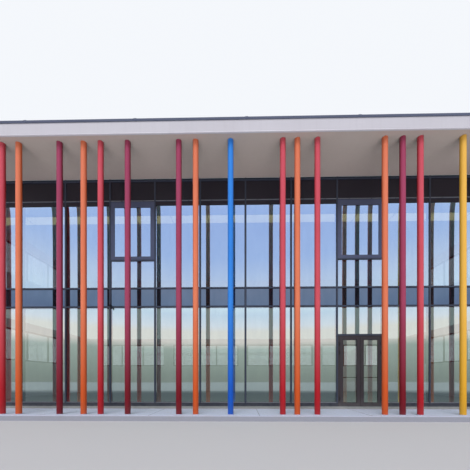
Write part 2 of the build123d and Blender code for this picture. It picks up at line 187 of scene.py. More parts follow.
def makeWeatherGroup(look):
    # Cloudy tone, vertical rain marks, a painted sheen high on the front (painted highlight; the
    # back keeps a deeper tone as painted shade), dust near the ground;
    # the mask that darkens the lowest band is mixed in by the material
    group, value = newGroup("weatheredSurface", look["inputs"], look["outputs"])
    coords = objectCoords(group)
    height = splitAxes(group, coords)["Z"]
    cloud = noiseAt(group, coords, value["Cloud Scale"], **look["cloudNoise"])
    cloud = ramp(group, cloud, *look["cloudRange"])
    streak = noiseAt(group, stretched(group, coords, look["streakStretch"]), **look["streakNoise"])
    streak = ramp(group, streak, *look["streakRange"])
    grain = noiseAt(group, coords, value["Grain Scale"], **look["grainNoise"])
    # Painted light: paler upwards on the front as a painted highlight, deeper on the back as painted
    # shade
    paintedSheenFront = ramp(group, splitAxes(group, objectNormal(group))["Y"], *look["paintedSheenFrontNormals"])
    paintedSheen = ramp(group, height, *look["paintedSheenHeights"])
    paintedSheen = product(group, product(group, paintedSheen, value["Painted Sheen Amount"]), paintedSheenFront)
    tone = mixColour(group, paintedSheen, value["Colour"], value["Painted Sheen"])
    mask = product(group, cloud, value["Cloud Amount"])
    mask = mathNode(group, "MULTIPLY_ADD", streak, value["Streak Amount"], mask)
    mask = mathNode(group, "MULTIPLY_ADD", grain, value["Grain Amount"], mask, clamp=True)
    tone = mixColour(group, mask, tone, value["Stain"])
    dust = ramp(group, noiseAt(group, coords, **look["dustNoise"]), *look["dustRange"])
    dust = product(group, ramp(group, height, *look["dustHeights"]), dust)
    dust = product(group, dust, value["Dust Amount"])
    spread = product(group, mathNode(group, "SUBTRACT", cloud, 0.5), value["Roughness Spread"])
    rough = mathNode(group, "ADD", value["Roughness"], spread)
    rough = mathNode(group, "MULTIPLY_ADD", dust, look["dustRoughness"], rough, clamp=True)
    lowDark = product(group, ramp(group, height, *look["lowDarkHeights"]), value["Low Dark Amount"])
    step(group, "NodeGroupOutput", {
        "Colour": mixColour(group, dust, tone, look["dustColour"]), "Roughness": rough,
        "Height": grain, "Low Dark": lowDark})
    return group


# Flecks: a range picks the share of the cells that is pale or dark
fleckLook = {
    "inputs": {"Colour": (0.5, 0.5, 0.5, 1), "Pale": (0.8, 0.8, 0.8, 1),
               "Dark": (0.1, 0.1, 0.1, 1), "Scale": 150.0, "Amount": 0.3},
    "outputs": ("Colour", "Height"),
    "paleRange": (0.78, 0.9),
    "darkRange": (0.2, 0.08),
}


def makeFleckGroup(look):
    # Small stones or grit: pale and dark flecks over a tone, with their relief
    group, value = newGroup("stoneFlecks", look["inputs"], look["outputs"])
    cells = group.nodes.new("ShaderNodeTexVoronoi")
    feed(group, objectCoords(group), cells.inputs["Vector"])
    feed(group, value["Scale"], cells.inputs["Scale"])
    pick = splitAxes(group, cells.outputs["Color"])["X"]
    pale = product(group, ramp(group, pick, *look["paleRange"]), value["Amount"])
    dark = product(group, ramp(group, pick, *look["darkRange"]), value["Amount"])
    tone = mixColour(group, pale, value["Colour"], value["Pale"])
    step(group, "NodeGroupOutput", {
        "Colour": mixColour(group, dark, tone, value["Dark"]),
        "Height": cells.outputs["Distance"]})
    return group


# Shape of the panes, in metres; Middle and Half Height are those of one row of panes
paneLook = {
    "inputs": {"Middle": 1.5, "Half Height": 1.5, "Depth": 0.004, "Curl": 0.0, "Spacing": 1.5,
               "Tilt": 0.001, "Wave": 0.0005},
    "outputs": ("Height", "Smear"),
    "curlPower": 8.0,
    "waveNoise": {"scale": 1.1, "detail": 1.0, "roughness": 0.4},
    "smearStretch": (3.0, 3.0, 0.8),
    "smearNoise": {"scale": 1.5, "detail": 6.0, "roughness": 0.6},
    "smearRange": (0.35, 0.7),
}


def makePaneGroup(look):
    # Sealed panes bow a little, curl at the clamped top edge and never stand quite alike:
    # relief that bends their reflections
    group, value = newGroup("paneBow", look["inputs"], look["outputs"])
    coords = objectCoords(group)
    axes = splitAxes(group, coords)
    bay = mathNode(group, "FLOOR", mathNode(group, "DIVIDE", axes["X"], value["Spacing"]))
    chance = step(group, "ShaderNodeTexWhiteNoise", {"W": bay}, noise_dimensions="1D")
    lean = product(group, mathNode(group, "SUBTRACT", chance, 0.5), value["Tilt"])
    upright = mathNode(group, "SUBTRACT", axes["Z"], value["Middle"])
    share = mathNode(group, "DIVIDE", upright, value["Half Height"])
    curl = mathNode(group, "POWER", mathNode(group, "MAXIMUM", share, 0.0), look["curlPower"])
    wave = noiseAt(group, coords, **look["waveNoise"])
    bow = product(group, product(group, share, share), value["Depth"])
    for factor, amount in ((curl, value["Curl"]), (lean, upright), (lean, axes["X"]),
                           (wave, value["Wave"])):
        bow = mathNode(group, "MULTIPLY_ADD", factor, amount, bow)
    smear = noiseAt(group, stretched(group, coords, look["smearStretch"]), **look["smearNoise"])
    step(group, "NodeGroupOutput", {"Height": bow,
                                    "Smear": ramp(group, smear, *look["smearRange"])})
    return group


weatherGroup = makeWeatherGroup(weatherLook)
fleckGroup = makeFleckGroup(fleckLook)
paneGroup = makePaneGroup(paneLook)
print("shared surface groups made")


def placeGroup(tree, source, values):
    # Puts a group in a tree; values that it doesn't know are for others
    group = tree.nodes.new("ShaderNodeGroup")
    group.node_tree = source
    for title, value in values.items():
        if title in group.inputs:
            feed(tree, value, group.inputs[title])
    return group.outputs


def startMaterial(name):
    material = bpy.data.materials.new(name)
    material.use_nodes = True
    return material, material.node_tree, material.node_tree.nodes["Principled BSDF"]


def addRelief(tree, shader, height, look):
    normal = step(tree, "ShaderNodeBump", {"Strength": look["bump"], "Distance": look["relief"],
                                           "Height": height})
    feed(tree, normal, shader.inputs["Normal"])


# Values on the shader itself, with what a look has when it names none
shaderValues = {
    "metallic": ("Metallic", 0.0),
    "specular": ("Specular IOR Level", 0.5),
    "coat": ("Coat Weight", 0.0),
    "coatRoughness": ("Coat Roughness", 0.2),
}
looksDown = -0.5   # a face whose normal has less than this along Z looks down


def makeSolid(name, look):
    # Opaque finish: weathered tone, with flecks, a darker lowest band and a glow where the look has
    # them; on the ceilings the glow is painted light
    material, tree, shader = startMaterial(name)
    weather = placeGroup(tree, weatherGroup, look)
    tone, height = weather["Colour"], weather["Height"]
    if "Amount" in look:
        flecks = placeGroup(tree, fleckGroup, dict(look, Colour=tone))
        tone, height = flecks["Colour"], flecks["Height"]
    # Darker towards the bottom where the look asks for it
    if "Low Dark Amount" in look:
        tone = mixColour(tree, weather["Low Dark"], tone, look["splashColour"])
    feed(tree, tone, shader.inputs["Base Color"])
    feed(tree, weather["Roughness"], shader.inputs["Roughness"])
    addRelief(tree, shader, height, look)
    for key, (title, plain) in shaderValues.items():
        shader.inputs[title].default_value = look.get(key, plain)
    if "glow" in look:
        # Glow of the faces that look down: painted light on the ceilings
        below = mathNode(tree, "LESS_THAN", splitAxes(tree, objectNormal(tree))["Z"], looksDown)
        light = mixColour(tree, below, (0, 0, 0, 1), look["glowColour"])
        feed(tree, light, shader.inputs["Emission Color"])
        shader.inputs["Emission Strength"].default_value = look["glow"]
    return material


def makeGlass(name, look):
    # Pane coated on the faces that light enters: mirrors part of the sky, lets the rest through
    material, tree, shader = startMaterial(name)
    bow = placeGroup(tree, paneGroup, look)
    tint = mixColour(tree, bow["Smear"], look["colour"], look["colourDeep"])
    feed(tree, tint, shader.inputs["Base Color"])
    feed(tree, product(tree, bow["Smear"], look["haze"]), shader.inputs["Roughness"])
    addRelief(tree, shader, bow["Height"], look)
    shader.inputs["Metallic"].default_value = look["metallic"]
    shader.inputs["Transmission Weight"].default_value = look["seeThrough"]
    shader.inputs["IOR"].default_value = look["ior"]
    if look["seeThrough"] == 0:
        return material
    # What has entered leaves by the far face without a second share for the mirror
    leaving = step(tree, "ShaderNodeBsdfRefraction", {"IOR": look["ior"], "Roughness": 0.0})
    facing = tree.nodes.new("ShaderNodeNewGeometry").outputs["Backfacing"]
    pane = mixShader(tree, facing, shader.outputs[0], leaving)
    # Daylight passes to the rooms behind
    clear = step(tree, "ShaderNodeBsdfTransparent", {"Color": look["daylight"]})
    path = tree.nodes.new("ShaderNodeLightPath").outputs
    daylight = mathNode(tree, "MAXIMUM", path["Is Shadow Ray"], path["Is Diffuse Ray"])
    whole = mixShader(tree, daylight, pane, clear)
    feed(tree, whole, tree.nodes["Material Output"].inputs["Surface"])
    return material


def srgb(colour):
    # Screen colour, each part 0 to 255, as a linear colour by the usual curve
    def linear(value):
        share = value / 255
        return share / 12.92 if share <= 0.04045 else ((share + 0.055) / 1.055) ** 2.4
    return (*(linear(value) for value in colour), 1)


# Looks by kind, from screen colours; capitalised keys are sockets of the shared groups
# Paint with a painted sheen: paler upwards on the front, deeper on the back as painted shade
def paintLook(colour, paintedSheenColour, stain):
    return {"Colour": srgb(colour), "Stain": srgb(stain), "Painted Sheen": srgb(paintedSheenColour),
            "Painted Sheen Amount": 0.8, "Cloud Scale": 1.3, "Cloud Amount": 0.15, "Streak Amount": 0.1,
            "Grain Scale": 90.0, "Grain Amount": 0.04, "Dust Amount": 0.06, "Roughness": 0.36,
            "Roughness Spread": 0.1, "bump": 0.12, "relief": 0.0006, "coat": 0.12,
            "coatRoughness": 0.22, "specular": 0.35}


def metalLook(colour, stain, roughness=0.45):
    return {"Colour": srgb(colour), "Stain": srgb(stain), "Cloud Scale": 1.1, "Cloud Amount": 0.3,
            "Streak Amount": 0.15, "Grain Scale": 140.0, "Grain Amount": 0.05, "Dust Amount": 0.15,
            "Roughness": roughness, "Roughness Spread": 0.12, "bump": 0.15, "relief": 0.0004,
            "coat": 0.1, "coatRoughness": 0.3}


def renderLook(colour, stain):
    return {"Colour": srgb(colour), "Stain": srgb(stain), "Cloud Scale": 0.5, "Cloud Amount": 0.3,
            "Streak Amount": 0.16, "Grain Scale": 70.0, "Grain Amount": 0.12, "Dust Amount": 0.3,
            "Roughness": 0.85, "Roughness Spread": 0.1, "bump": 0.35, "relief": 0.0015}


def stoneLook(colour, stain, pale, dark, scale, amount):
    return dict(renderLook(colour, stain), Pale=srgb(pale), Dark=srgb(dark), Scale=scale,
                Amount=amount)


def glowing(look, glow, glowColour):
    # A glow on the faces that look down, tuned for the tone of the posts mirrored in the glass; on
    # the ceilings, which are no lamps, it is painted light, on the light panels it is their lamp
    # light
    return dict(look, glow=glow, glowColour=glowColour)


def glassLook(box, depth, metallic, colour, colourDeep, seeThrough=1.0):
    low, high = box
    return {"colour": colour, "colourDeep": colourDeep, "haze": 0.03, "metallic": metallic,
            "seeThrough": seeThrough, "ior": 1.5, "daylight": (0.88, 0.96, 0.92, 1),
            "bump": 1.0, "relief": 1.0, "Middle": (low.z + high.z) / 2,
            "Half Height": (high.z - low.z) / 2, "Depth": depth, "Tilt": 0.0012, "Wave": 0.0006}


ceilingLook = renderLook((214, 216, 210), (196, 198, 192))
solidLooks = {
    # Posts: own colour, painted-sheen colour of the upper front, stain
    "redPaint": paintLook((166, 18, 32), (206, 84, 98), (150, 20, 40)),
    "orangePaint": paintLook((194, 80, 30), (222, 126, 92), (190, 80, 35)),
    "crimsonPaint": paintLook((112, 10, 28), (164, 64, 98), (105, 12, 40)),
    "bluePaint": paintLook((10, 82, 186), (48, 138, 226), (15, 80, 180)),
    "yellowPaint": paintLook((214, 160, 40), (232, 182, 80), (205, 145, 35)),
    "darkFrame": metalLook((50, 52, 62), (34, 34, 42)),
    "capMetal": metalLook((58, 66, 84), (42, 48, 62), 0.4),
    "baseMetal": metalLook((34, 40, 54), (24, 28, 38)),
    "headPanel": metalLook((32, 28, 42), (20, 18, 30), 0.35),
    "sashMetal": metalLook((80, 88, 116), (62, 68, 92)),
    "doorMetal": metalLook((60, 54, 58), (44, 38, 42)),
    "hingeMetal": metalLook((32, 30, 34), (22, 20, 24)),
    "cappingMetal": metalLook((81, 87, 105), (60, 64, 80), 0.4),
    "trimMetal": metalLook((222, 219, 228), (204, 200, 210), 0.4),
    # Pale strip metal: thin trim and painted highlight along cap and base edges
    "paleHighlightMetal": metalLook((132, 134, 142), (112, 114, 122)),
    "pushBarSteel": dict(metalLook((92, 92, 94), (70, 70, 72), 0.3), metallic=1.0),
    "sealRubber": metalLook((26, 27, 32), (18, 18, 22), 0.7),
    "insulationBoard": metalLook((90, 92, 96), (70, 72, 76), 0.8),
    "fasciaRender": renderLook((196, 194, 203), (176, 173, 182)),
    "wallRender": renderLook((212, 208, 212), (190, 186, 190)),
    "plinthRender": renderLook((122, 122, 130), (100, 100, 108)),
    "soffitRender": renderLook((187, 173, 168), (170, 157, 152)),
    # Both ceilings glow with painted light though they are no lamps
    "paintedGlowRoofCeiling": glowing(ceilingLook, 0.1, (0.08, 0.62, 1.0, 1)),
    "paintedGlowFloorCeiling": glowing(ceilingLook, 0.5, (0.62, 0.86, 0.82, 1)),
    "lightPanel": glowing(metalLook((228, 240, 206), (200, 210, 184), 0.5), 0.75,
                          (1.0, 0.84, 0.45, 1)),
    "terraceConcrete": stoneLook((196, 202, 226), (180, 185, 209), (215, 218, 236),
                                 (124, 128, 148), 160.0, 0.35),
    "floorConcrete": stoneLook((140, 143, 141), (122, 125, 124), (164, 166, 168),
                               (98, 100, 104), 120.0, 0.25),
    "roofCovering": stoneLook((116, 118, 124), (84, 86, 92), (170, 172, 178),
                              (52, 54, 60), 260.0, 0.6),
}
# The front face of the terrace is darker below its top edge
solidLooks["terraceConcrete"].update({"Low Dark Amount": 0.72, "splashColour": (0.19, 0.19, 0.21, 1)})
glassLooks = {
    "upperGlass": glassLook(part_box("front_upper_glass"), 0.008, 0.74, (0.66, 0.84, 0.97, 1),
                            (0.61, 0.79, 0.94, 1)),
    "lowerGlass": glassLook(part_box("front_lower_glass"), 0.002, 0.66, (0.86, 0.95, 1.0, 1),
                            (0.80, 0.89, 0.95, 1)),
    "doorGlass": glassLook(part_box("left_door_glass"), 0.001, 0.3, (0.9, 0.92, 0.9, 1),
                           (0.84, 0.87, 0.84, 1)),
    "spandrelGlass": glassLook(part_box("front_spandrel_glass"), 0.0004, 0.95, (0.16, 0.21, 0.30, 1),
                               (0.135, 0.185, 0.265, 1), 0.0),
    "rearGlass": glassLook(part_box("high_window_glass"), 0.0, 0.4, (0.5, 0.56, 0.56, 1),
                           (0.42, 0.48, 0.48, 1)),
}
glassLooks["upperGlass"]["Curl"] = 0.014
materials = {name: makeSolid(name, look) for name, look in solidLooks.items()}
materials.update({name: makeGlass(name, look) for name, look in glassLooks.items()})
print("materials made:", len(materials))

# CAD nodes by the finish they take
finishNodes = {
    "terraceConcrete": ["terrace_slab"],
    "floorConcrete": ["ground_slab"],
    "paintedGlowFloorCeiling": ["upper_floor"],
    "paintedGlowRoofCeiling": ["roof_slab"],
    "roofCovering": ["roof_covering"],
    "soffitRender": ["front_soffit"],
    "fasciaRender": ["front_fascia", "back_fascia", "end_fascias"],
    "cappingMetal": ["front_capping", "back_capping", "end_cappings", "window_sills"],
    "redPaint": ["red_posts"],
    "orangePaint": ["orange_posts"],
    "crimsonPaint": ["crimson_posts"],
    "bluePaint": ["blue_posts"],
    "yellowPaint": ["yellow_posts"],
    "darkFrame": ["front_mullions", "front_transoms", "high_window_rails", "high_window_stiles"],
    "capMetal": ["front_caps"],
    "baseMetal": ["front_base_profile", "door_threshold"],
    "headPanel": ["front_head_panels"],
    "sashMetal": ["window_sashes"],
    "doorMetal": ["door_frame", "left_door_leaf", "right_door_leaf"],
    "hingeMetal": ["fixed_hinges", "left_hinges", "right_hinges"],
    "pushBarSteel": ["left_push_bar", "right_push_bar"],
    "sealRubber": ["door_stops"],
    "insulationBoard": ["spandrel_insulation"],
    "wallRender": ["back_wall_bands", "back_wall_piers", "end_wall_bands", "end_wall_piers"],
    "upperGlass": ["front_upper_glass", "sash_glass"],
    "lowerGlass": ["front_lower_glass"],
    "spandrelGlass": ["front_spandrel_glass"],
    "doorGlass": ["left_door_glass", "right_door_glass"],
    "rearGlass": ["high_window_glass"],
}
for finish, nodeNames in finishNodes.items():
    for nodeName in nodeNames:
        mesh = nodes[nodeName].data
        mesh.materials.clear()
        mesh.materials.append(materials[finish])
print("finishes given to", sum(map(len, finishNodes.values())), "nodes")


# Helpers for geometry trees
def newTree(name, sizes, counts=()):
    # The inputs are a mesh, some sizes, some counts and a material
    tree = bpy.data.node_groups.new(name, "GeometryNodeTree")
    inputs = [("Geometry", "NodeSocketGeometry")]
    inputs += [(title, "NodeSocketFloat") for title in sizes]
    inputs += [(title, "NodeSocketInt") for title in counts]
    inputs.append(("Material", "NodeSocketMaterial"))
    for title, kind in inputs:
        tree.interface.new_socket(title, in_out="INPUT", socket_type=kind)
    tree.interface.new_socket("Geometry", in_out="OUTPUT", socket_type="NodeSocketGeometry")
    return tree, tree.nodes.new("NodeGroupInput").outputs


def closeTree(tree, geometry, material):
    # Every tree ends the same way: real geometry with one material
    real = step(tree, "GeometryNodeRealizeInstances", {"Geometry": geometry})
    done = step(tree, "GeometryNodeSetMaterial", {"Geometry": real, "Material": material})
    step(tree, "NodeGroupOutput", {"Geometry": done})
    return tree


def rectangle(tree, width, height, radius=None, count=0):
    # Outline of a profile, with rounded corners of so many points where a radius is given
    outline = step(tree, "GeometryNodeCurvePrimitiveQuadrilateral",
                   {"Width": width, "Height": height})
    if radius is None:
        return outline
    return step(tree, "GeometryNodeFilletCurve", {"Curve": outline, "Radius": radius,
                                                  "Limit Radius": True, "Count": count},
                mode="POLY")


def facingCurve(tree, curve, normal):
    return step(tree, "GeometryNodeSetCurveNormal", {"Curve": curve, "Normal": normal},
                mode="FREE")


def onPoints(tree, points, instance, **turn):
    return step(tree, "GeometryNodeInstanceOnPoints",
                {"Points": points, "Instance": instance, **turn})


def joined(tree, *parts):
    node = tree.nodes.new("GeometryNodeJoinGeometry")
    for part in parts:
        feed(tree, part, node.inputs[0])
    return node.outputs[0]


def raised(tree, geometry, height):
    offset = step(tree, "ShaderNodeCombineXYZ", {"Z": height})
    return step(tree, "GeometryNodeTransform", {"Geometry": geometry, "Translation": offset})


# Points of the rounded corners and sides of the round parts
treeCounts = {"sweepCorner": 3, "ringCorner": 2, "plateCorner": 4, "roundSides": 48}


def makeSweepTree(name, rounded):
    # Bar along every edge path of a mesh; the attribute "side" holds the direction of its width
    tree, value = newTree(name, ("Width", "Thickness", "Round"))
    paths = step(tree, "GeometryNodeMeshToCurve", {"Mesh": value["Geometry"]})
    side = step(tree, "GeometryNodeInputNamedAttribute", {"Name": "side"},
                data_type="FLOAT_VECTOR")
    outline = rectangle(tree, value["Width"], value["Thickness"],
                        value["Round"] if rounded else None, treeCounts["sweepCorner"])
    bar = step(tree, "GeometryNodeCurveToMesh", {"Curve": facingCurve(tree, paths, side),
                                                 "Profile Curve": outline, "Fill Caps": True})
    return closeTree(tree, bar, value["Material"])


def makeRingTree(rounding=0.002):
    # Flat band round every point of a mesh
    tree, value = newTree("ringBand", ("Radius", "Band", "Thickness"))
    circle = step(tree, "GeometryNodeCurvePrimitiveCircle",
                  {"Resolution": treeCounts["roundSides"], "Radius": value["Radius"]})
    outline = rectangle(tree, value["Band"], value["Thickness"], rounding,
                        treeCounts["ringCorner"])
    ring = step(tree, "GeometryNodeCurveToMesh", {"Curve": facingCurve(tree, circle, (0, 0, 1)),
                                                  "Profile Curve": outline})
    return closeTree(tree, onPoints(tree, value["Geometry"], ring), value["Material"])


def makePlateTree():
    # Rounded plate on the front of every point of a mesh
    tree, value = newTree("roundedPlate", ("Width", "Height", "Corner", "Thickness"))
    outline = rectangle(tree, value["Width"], value["Height"], value["Corner"],
                        treeCounts["plateCorner"])
    face = step(tree, "GeometryNodeFillCurve", {"Curve": outline}, mode="NGONS")
    block = step(tree, "GeometryNodeExtrudeMesh",
                 {"Mesh": face, "Offset Scale": value["Thickness"], "Individual": False})
    back = step(tree, "GeometryNodeFlipFaces", {"Mesh": face})
    upright = step(tree, "GeometryNodeTransform", {"Geometry": joined(tree, block, back),
                                                   "Rotation": (math.radians(90), 0, 0)})
    return closeTree(tree, onPoints(tree, value["Geometry"], upright), value["Material"])


outletShape = {"flangeShare": 1.35, "flangeDepth": 0.006, "ribWidth": 0.012,
               "ribThickness": 0.004, "lidMargin": 0.008, "lidDepth": 0.005}


def makeOutletTree(shape):
    # Roof outlet on every point of a mesh: a flange and a basket of ribs under a small lid
    tree, value = newTree("roofOutlet", ("Radius", "Height"), ("Ribs",))
    radius, height, ribCount = value["Radius"], value["Height"], value["Ribs"]

    def disc(discRadius, depth, level):
        flat = step(tree, "GeometryNodeMeshCylinder",
                    {"Vertices": treeCounts["roundSides"], "Radius": discRadius, "Depth": depth})
        return raised(tree, flat, level)

    top = product(tree, height, 0.5)
    flange = disc(product(tree, radius, shape["flangeShare"]), shape["flangeDepth"],
                  product(tree, top, -1.0))
    lid = disc(mathNode(tree, "ADD", radius, shape["lidMargin"]), shape["lidDepth"], top)
    spots = step(tree, "GeometryNodeMeshCircle", {"Vertices": ribCount, "Radius": radius})
    turn = mathNode(tree, "DIVIDE", math.tau, ribCount)
    angle = product(tree, step(tree, "GeometryNodeInputIndex"), turn)
    facing = step(tree, "ShaderNodeCombineXYZ", {"Z": angle})
    size = step(tree, "ShaderNodeCombineXYZ",
                {"X": shape["ribWidth"], "Y": shape["ribThickness"], "Z": height})
    rib = step(tree, "GeometryNodeMeshCube", {"Size": size})
    ribs = onPoints(tree, spots, rib, Rotation=facing)
    whole = onPoints(tree, value["Geometry"], joined(tree, flange, ribs, lid))
    return closeTree(tree, whole, value["Material"])


sweepTree = makeSweepTree("sweptBar", False)
roundedTree = makeSweepTree("sweptRounded", True)
ringTree = makeRingTree()
plateTree = makePlateTree()
outletTree = makeOutletTree(outletShape)
print("geometry trees made")


def pathMesh(name, paths):
    # Mesh of edge paths: each is (points, closed, direction of the bar's width)
    points, edges, sides = [], [], []
    for path, closed, side in paths:
        first = len(points)
        points += [tuple(point) for point in path]
        sides += [component for _ in path for component in side]
        edges += [(first + place, first + place + 1) for place in range(len(path) - 1)]
        if closed:
            edges.append((first + len(path) - 1, first))
    mesh = bpy.data.meshes.new(name)
    mesh.from_pydata(points, edges, [])
    mesh.attributes.new("side", "FLOAT_VECTOR", "POINT").data.foreach_set("vector", sides)
    return mesh


def pointMesh(name, points):
    mesh = bpy.data.meshes.new(name)
    mesh.from_pydata([tuple(point) for point in points], [], [])
    return mesh


def grow(name, mesh, tree, look, body):
    # Runs a geometry tree over a mesh and keeps the result as a plain mesh on one body
    maker = bpy.data.objects.new(name + "Maker", mesh)
    scene.collection.objects.link(maker)
    modifier = maker.modifiers.new("growth", "NODES")
    modifier.node_group = tree
    values = dict(look, Material=materials[look["material"]])
    for item in tree.interface.items_tree:
        if item.in_out == "INPUT" and item.name in values:
            modifier[item.identifier] = values[item.name]
    grown = maker.evaluated_get(bpy.context.evaluated_depsgraph_get())
    result = bpy.data.meshes.new_from_object(grown)
    maker.modifiers.remove(modifier)
    bpy.data.objects.remove(maker)
    piece = bpy.data.objects.new(name, result)
    result.name = name
    scene.collection.objects.link(piece)
    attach(piece, body)
    print(name, "has", len(result.polygons), "faces")


def growPaths(name, paths, look, body="building"):
    # Bars along paths, with rounded edges where the look gives a radius
    tree = roundedTree if "Round" in look else sweepTree
    grow(name, pathMesh(name, paths), tree, look, body)


def growPoints(name, points, tree, look, body="building"):
    grow(name, pointMesh(name, points), tree, look, body)


cornerDigits = 5  # decimals of a metre that tell corners apart


def findLeader(leader, key):
    # The corner that stands for all corners joined with this one
    while leader[key] != key:
        leader[key] = leader[leader[key]]
        key = leader[key]
    return key


def solidBoxes(*nodeNames):
    # Lowest and highest corner of each solid of some nodes; shared corners join its triangles
    boxes = []
    for nodeName in nodeNames:
        mesh = nodes[nodeName].data
        keys = [tuple(round(value, cornerDigits) for value in vertex.co)
                for vertex in mesh.vertices]
        leader = {key: key for key in keys}
        for polygon in mesh.polygons:
            corners = [keys[index] for index in polygon.vertices]
            for corner in corners[1:]:
                leader[findLeader(leader, corner)] = findLeader(leader, corners[0])
        solids = {}
        for key in leader:
            solids.setdefault(findLeader(leader, key), []).append(key)
        for points in solids.values():
            columns = list(zip(*points))
            boxes.append((Vector([min(column) for column in columns]),
                          Vector([max(column) for column in columns])))
    return boxes


cornerWiden = math.sqrt(2)  # a bar swept round square corners loses this much of its thickness
upward, rightward, leftward = (0, 0, 1), (1, 0, 0), (-1, 0, 0)
frontward, rearward = (0, -1, 0), (0, 1, 0)


def openingIn(pane, covers):
    # Lowest and highest (x, z) of the part of a front pane that the covers leave open
    low, high = [pane[0].x, pane[0].z], [pane[1].x, pane[1].z]
    for coverLow, coverHigh in covers:
        lows, highs = (coverLow.x, coverLow.z), (coverHigh.x, coverHigh.z)
        overlaps = [min(high[place], highs[place]) - max(low[place], lows[place])
                    for place in (0, 1)]
        if min(overlaps) <= 0:
            continue
        place = overlaps.index(min(overlaps))
        if lows[place] + highs[place] < low[place] + high[place]:
            low[place] = highs[place]
        else:
            high[place] = lows[place]
    return low, high


def ringPath(low, high, axis, level, inset, side):
    # Closed path round an opening, inset from its edges; level is its place across the face
    left, bottom = low[0] + inset, low[1] + inset
    right, top = high[0] - inset, high[1] - inset
    corners = []
    for along, height in ((left, bottom), (right, bottom), (right, top), (left, top)):
        point = [level, level, height]
        point[axis] = along
        corners.append(point)
    return corners, True, side


def straightPath(start, end, side):
    return (start, end), False, side


def evenly(count, spacing):
    # Places on both sides of the middle
    return [place * spacing for place in range(-count, count + 1)]


# Rubber gaskets between the caps and every pane of the front
gasketLook = {"Width": 0.005, "Thickness": 0.008 * cornerWiden, "inset": 0.004,
              "material": "sealRubber", "slot": "seal_rubber"}
capBoxes = solidBoxes("front_caps")
baseBoxes = solidBoxes("front_base_profile")
frontCovers = capBoxes + baseBoxes + solidBoxes("front_head_panels")
frontPanes = solidBoxes("front_upper_glass", "front_spandrel_glass", "front_lower_glass")
openings = [openingIn(pane, frontCovers) for pane in frontPanes]
openings += [((low.x, low.z), (high.x, high.z)) for low, high in solidBoxes("sash_glass")]
gasketPlace = glassFace - gasketLook["Width"] / 2
gasketPaths = [ringPath(low, high, 0, gasketPlace, gasketLook["inset"], frontward)
               for low, high in openings]
growPaths("frontGaskets", gasketPaths, gasketLook)

# Beads round every light of the rear and end windows
beadLook = {"Width": 0.018, "Thickness": 0.014 * cornerWiden, "Round": 0.004, "inset": 0.007,
            "material": "darkFrame", "slot": "dark_frame"}
beadPaths = []
for low, high in solidBoxes("high_window_glass"):
    if high.x - low.x > high.y - low.y:
        axis, level, side = 0, high.y + beadLook["Width"] / 2, rearward
    elif low.x > 0:
        axis, level, side = 1, high.x + beadLook["Width"] / 2, rightward
    else:
        axis, level, side = 1, low.x - beadLook["Width"] / 2, leftward
    beadPaths.append(ringPath((low[axis], low.z), (high[axis], high.z), axis, level,
                              beadLook["inset"], side))
growPaths("windowBeads", beadPaths, beadLook)

# Gaskets of the door panes, outside and inside
leafSealLook = dict(gasketLook, Width=0.004)
for hand in ("left", "right"):
    low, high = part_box(hand + "_door_glass")
    sealPaths = []
    for level, side in ((low.y - leafSealLook["Width"] / 2, frontward),
                        (high.y + leafSealLook["Width"] / 2, rearward)):
        sealPaths.append(ringPath((low.x, low.z), (high.x, high.z), 0, level,
                                  leafSealLook["inset"], side))
    growPaths(hand + "DoorGasket", sealPaths, leafSealLook, hand + "_door")
print("gaskets and beads made")


# Capping: straps over the joints of the sheet, on all four sides
strapLook = {"Width": 0.08, "Thickness": 0.0016 * cornerWiden, "spacing": 3.0, "frontCount": 3,
             "endCount": 1, "fall": 0.014, "lift": 0.0008,
             "material": "cappingMetal", "slot": "capping_metal"}


def strapPath(outer, inner, levels, place, axis):
    # Up the outer face and over the top to the inner edge of the capping at one place
    lift = strapLook["lift"]
    bottom, top = levels
    face = outer - (lift if inner > outer else -lift)
    points = []
    for across, height in ((face, bottom), (face, top + lift),
                           (inner, top - strapLook["fall"] + lift)):
        point = [place, place, height]
        point[axis] = across
        points.append(point)
    return points, False, rightward if axis == 1 else rearward


frontLow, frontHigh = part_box("front_capping")
backLow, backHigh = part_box("back_capping")
frontLevels, backLevels = (frontLow.z, frontHigh.z), (backLow.z, backHigh.z)
cappingWidth = frontHigh.y - frontLow.y
strapPaths = []
for place in evenly(strapLook["frontCount"], strapLook["spacing"]):
    strapPaths.append(strapPath(frontLow.y, frontHigh.y, frontLevels, place, 1))
    strapPaths.append(strapPath(backHigh.y, backLow.y, backLevels, place, 1))
for place in evenly(strapLook["endCount"], strapLook["spacing"]):
    for sign in (-1, 1):
        outer = sign * frontHigh.x
        strapPaths.append(strapPath(outer, outer - sign * cappingWidth, frontLevels, place, 0))
growPaths("cappingStraps", strapPaths, strapLook)

# Bright edge trim along the bottom of the fascias
trimLook = {"Width": 0.016, "Thickness": 0.003 * cornerWiden, "above": 0.020,
            "material": "trimMetal", "slot": "fascia_render"}
fasciaLow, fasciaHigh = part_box("front_fascia")
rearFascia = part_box("back_fascia")[1].y
trimRing = ((fasciaLow.x, fasciaLow.y), (fasciaHigh.x, fasciaLow.y), (fasciaHigh.x, rearFascia),
            (fasciaLow.x, rearFascia))
trimPath = [(x, y, fasciaLow.z + trimLook["above"]) for x, y in trimRing]
growPaths("fasciaTrim", [(trimPath, True, upward)], trimLook)

# Welded seams of the roof covering
seamLook = {"Width": 0.003, "Thickness": 0.06, "spacing": 1.05, "count": 9, "lift": 0.001,
            "material": "roofCovering", "slot": "roof_covering"}
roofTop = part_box("roof_covering")[1].z
seamLevel = roofTop + seamLook["lift"]
seamPaths = [straightPath((x, frontHigh.y, seamLevel), (x, backLow.y, seamLevel), upward)
             for x in evenly(seamLook["count"], seamLook["spacing"])]
growPaths("roofSeams", seamPaths, seamLook)

